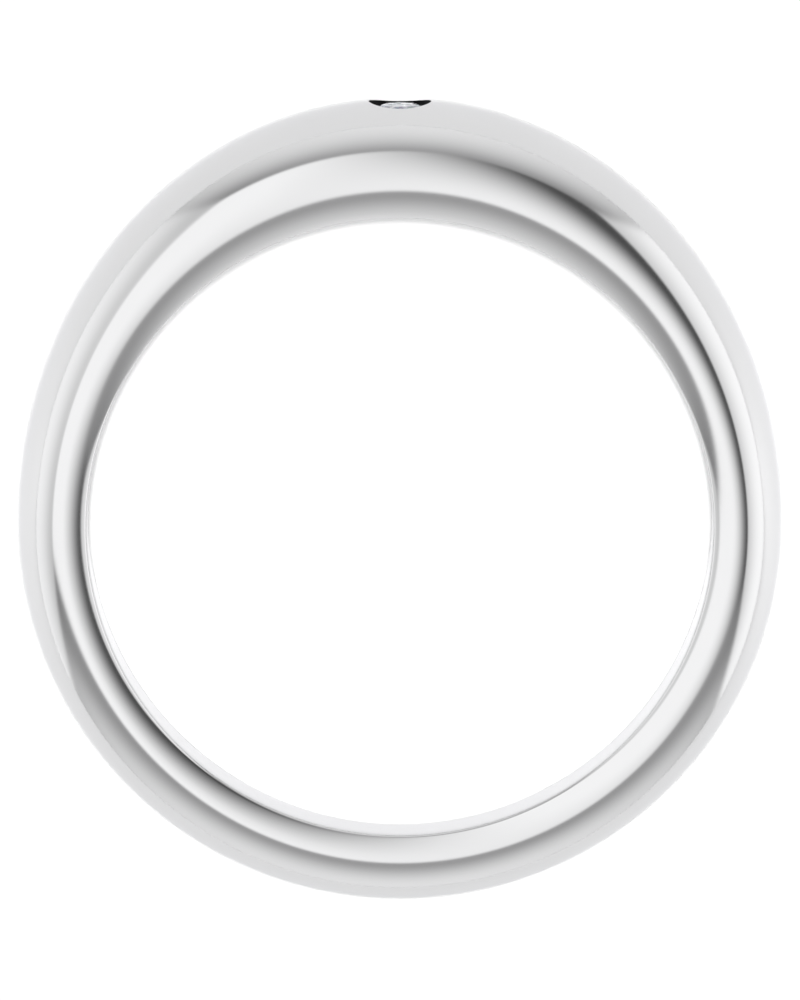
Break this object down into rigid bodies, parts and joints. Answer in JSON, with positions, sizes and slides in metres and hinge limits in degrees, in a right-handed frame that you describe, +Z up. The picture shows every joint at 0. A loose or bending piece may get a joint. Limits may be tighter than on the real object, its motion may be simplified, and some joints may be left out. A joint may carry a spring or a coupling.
{
  "type": "dome ring",
  "caption": "Polished white gold dome ring, thick and wide at the head and tapering to a slim foot, with a round brilliant let in flush at the crest. It lies on its side.",
  "frame": {"origin": "centre of the finger bore, halfway along its wall", "axes": "the ring lies on its side on a level surface below it: +Z up, +Y towards the head and the stone, +X to the right in the view from above. The bore's axis leans 3.2 degrees from +Z towards -Y, because the head is wider than the foot."},
  "size_m": [0.0212, 0.0223, 0.0044],
  "materials": {
    "white_gold": "mirror polished white gold, rhodium plated",
    "brilliant": "colourless cut stone with polished facets"
  },
  "bodies": {
    "root": {"band": "white_gold", "stone": "brilliant"}
  },
  "joints": []
}
